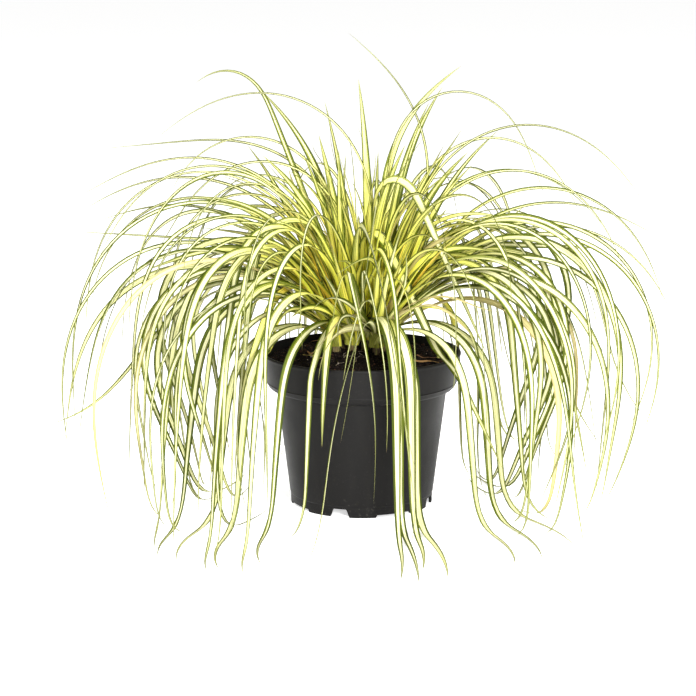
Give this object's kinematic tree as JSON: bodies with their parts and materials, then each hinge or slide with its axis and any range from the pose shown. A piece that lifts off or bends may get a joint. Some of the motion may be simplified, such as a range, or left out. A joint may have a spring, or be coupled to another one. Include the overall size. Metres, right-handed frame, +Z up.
{
  "type": "potted carex sedge",
  "caption": "Variegated carex sedge with long arching striped blades, growing in a round black nursery pot filled with soil.",
  "frame": {"origin": "on the pot's axis at the surface that the pot stands on, which is the bottom centre of the bounding box", "axes": "+Z up along the pot's axis; -Y is the front, the side that the camera looks at; +X to the right of it"},
  "size_m": [0.5948, 0.5721, 0.4483],
  "materials": {
    "pot_plastic": "fine matte, charcoal black, injection moulded",
    "soil": "moist dark peat with crumbs, fibres and pale grains",
    "foliage": "satin blades, cream to yellow middle with green edges",
    "dry_leaf": "dry and matte, brown to straw"
  },
  "bodies": {
    "root": {"pot": "pot_plastic", "potting_soil": "soil", "tuft_01": "foliage", "tuft_02": "foliage", "tuft_03": "foliage", "tuft_04": "foliage", "tuft_05": "foliage", "tuft_06": "foliage", "tuft_07": "foliage", "tuft_08": "foliage", "tuft_09": "foliage", "tuft_10": "foliage", "tuft_11": "foliage", "tuft_12": "foliage", "tuft_13": "foliage", "dry_leaf_right": "dry_leaf", "leaf_stub_right": "dry_leaf", "dry_leaf_back": "dry_leaf"}
  },
  "joints": []
}
